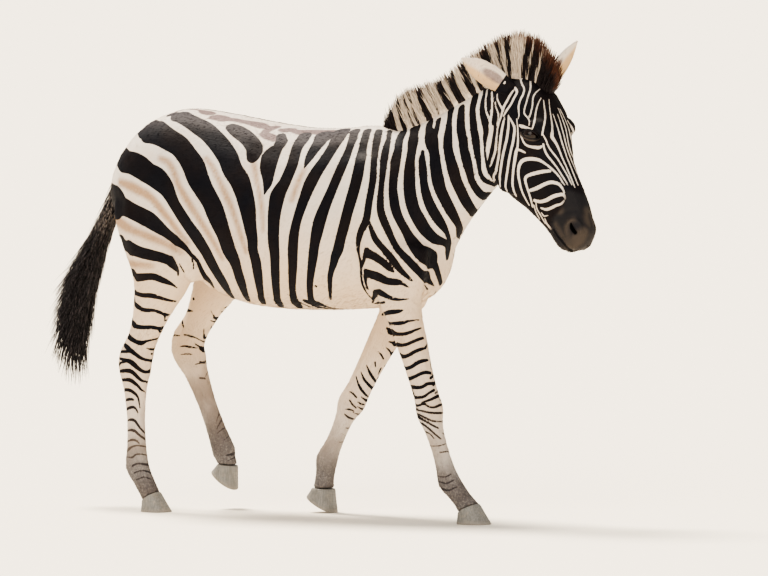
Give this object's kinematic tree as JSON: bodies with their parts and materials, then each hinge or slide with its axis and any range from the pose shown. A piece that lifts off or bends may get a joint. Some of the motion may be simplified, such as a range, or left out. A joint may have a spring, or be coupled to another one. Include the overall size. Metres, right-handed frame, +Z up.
{
  "type": "zebra",
  "caption": "Life-size standing zebra in mid stride, striped coat, short upright mane, ears apart, tail swung back; a still museum-style animal figure.",
  "frame": {"origin": "middle of the floor area that the animal covers, on the floor", "axes": "+X the way it walks, +Y its left, +Z up"},
  "size_m": [2.1474, 0.4696, 1.568],
  "materials": {
    "striped_coat": "short flat hair, dark and pale stripes",
    "mane_hair": "stiff upright hair, striped, rusty at the tips",
    "tail_hair": "long loose black hair",
    "hoof_horn": "dusty worn horn",
    "eye": "wet, glossy"
  },
  "bodies": {
    "root": {"trunk": "striped_coat", "neck": "striped_coat", "head": "striped_coat", "right_fore_leg": "striped_coat", "left_fore_leg": "striped_coat", "right_hind_leg": "striped_coat", "left_hind_leg": "striped_coat", "right_ear": "striped_coat", "left_ear": "striped_coat", "tail_dock": "striped_coat", "mane": "mane_hair", "tail_switch": "tail_hair", "right_fore_hoof": "hoof_horn", "right_hind_hoof": "hoof_horn", "left_fore_hoof": "hoof_horn", "left_hind_hoof": "hoof_horn", "right_eye": "eye", "left_eye": "eye"}
  },
  "joints": []
}
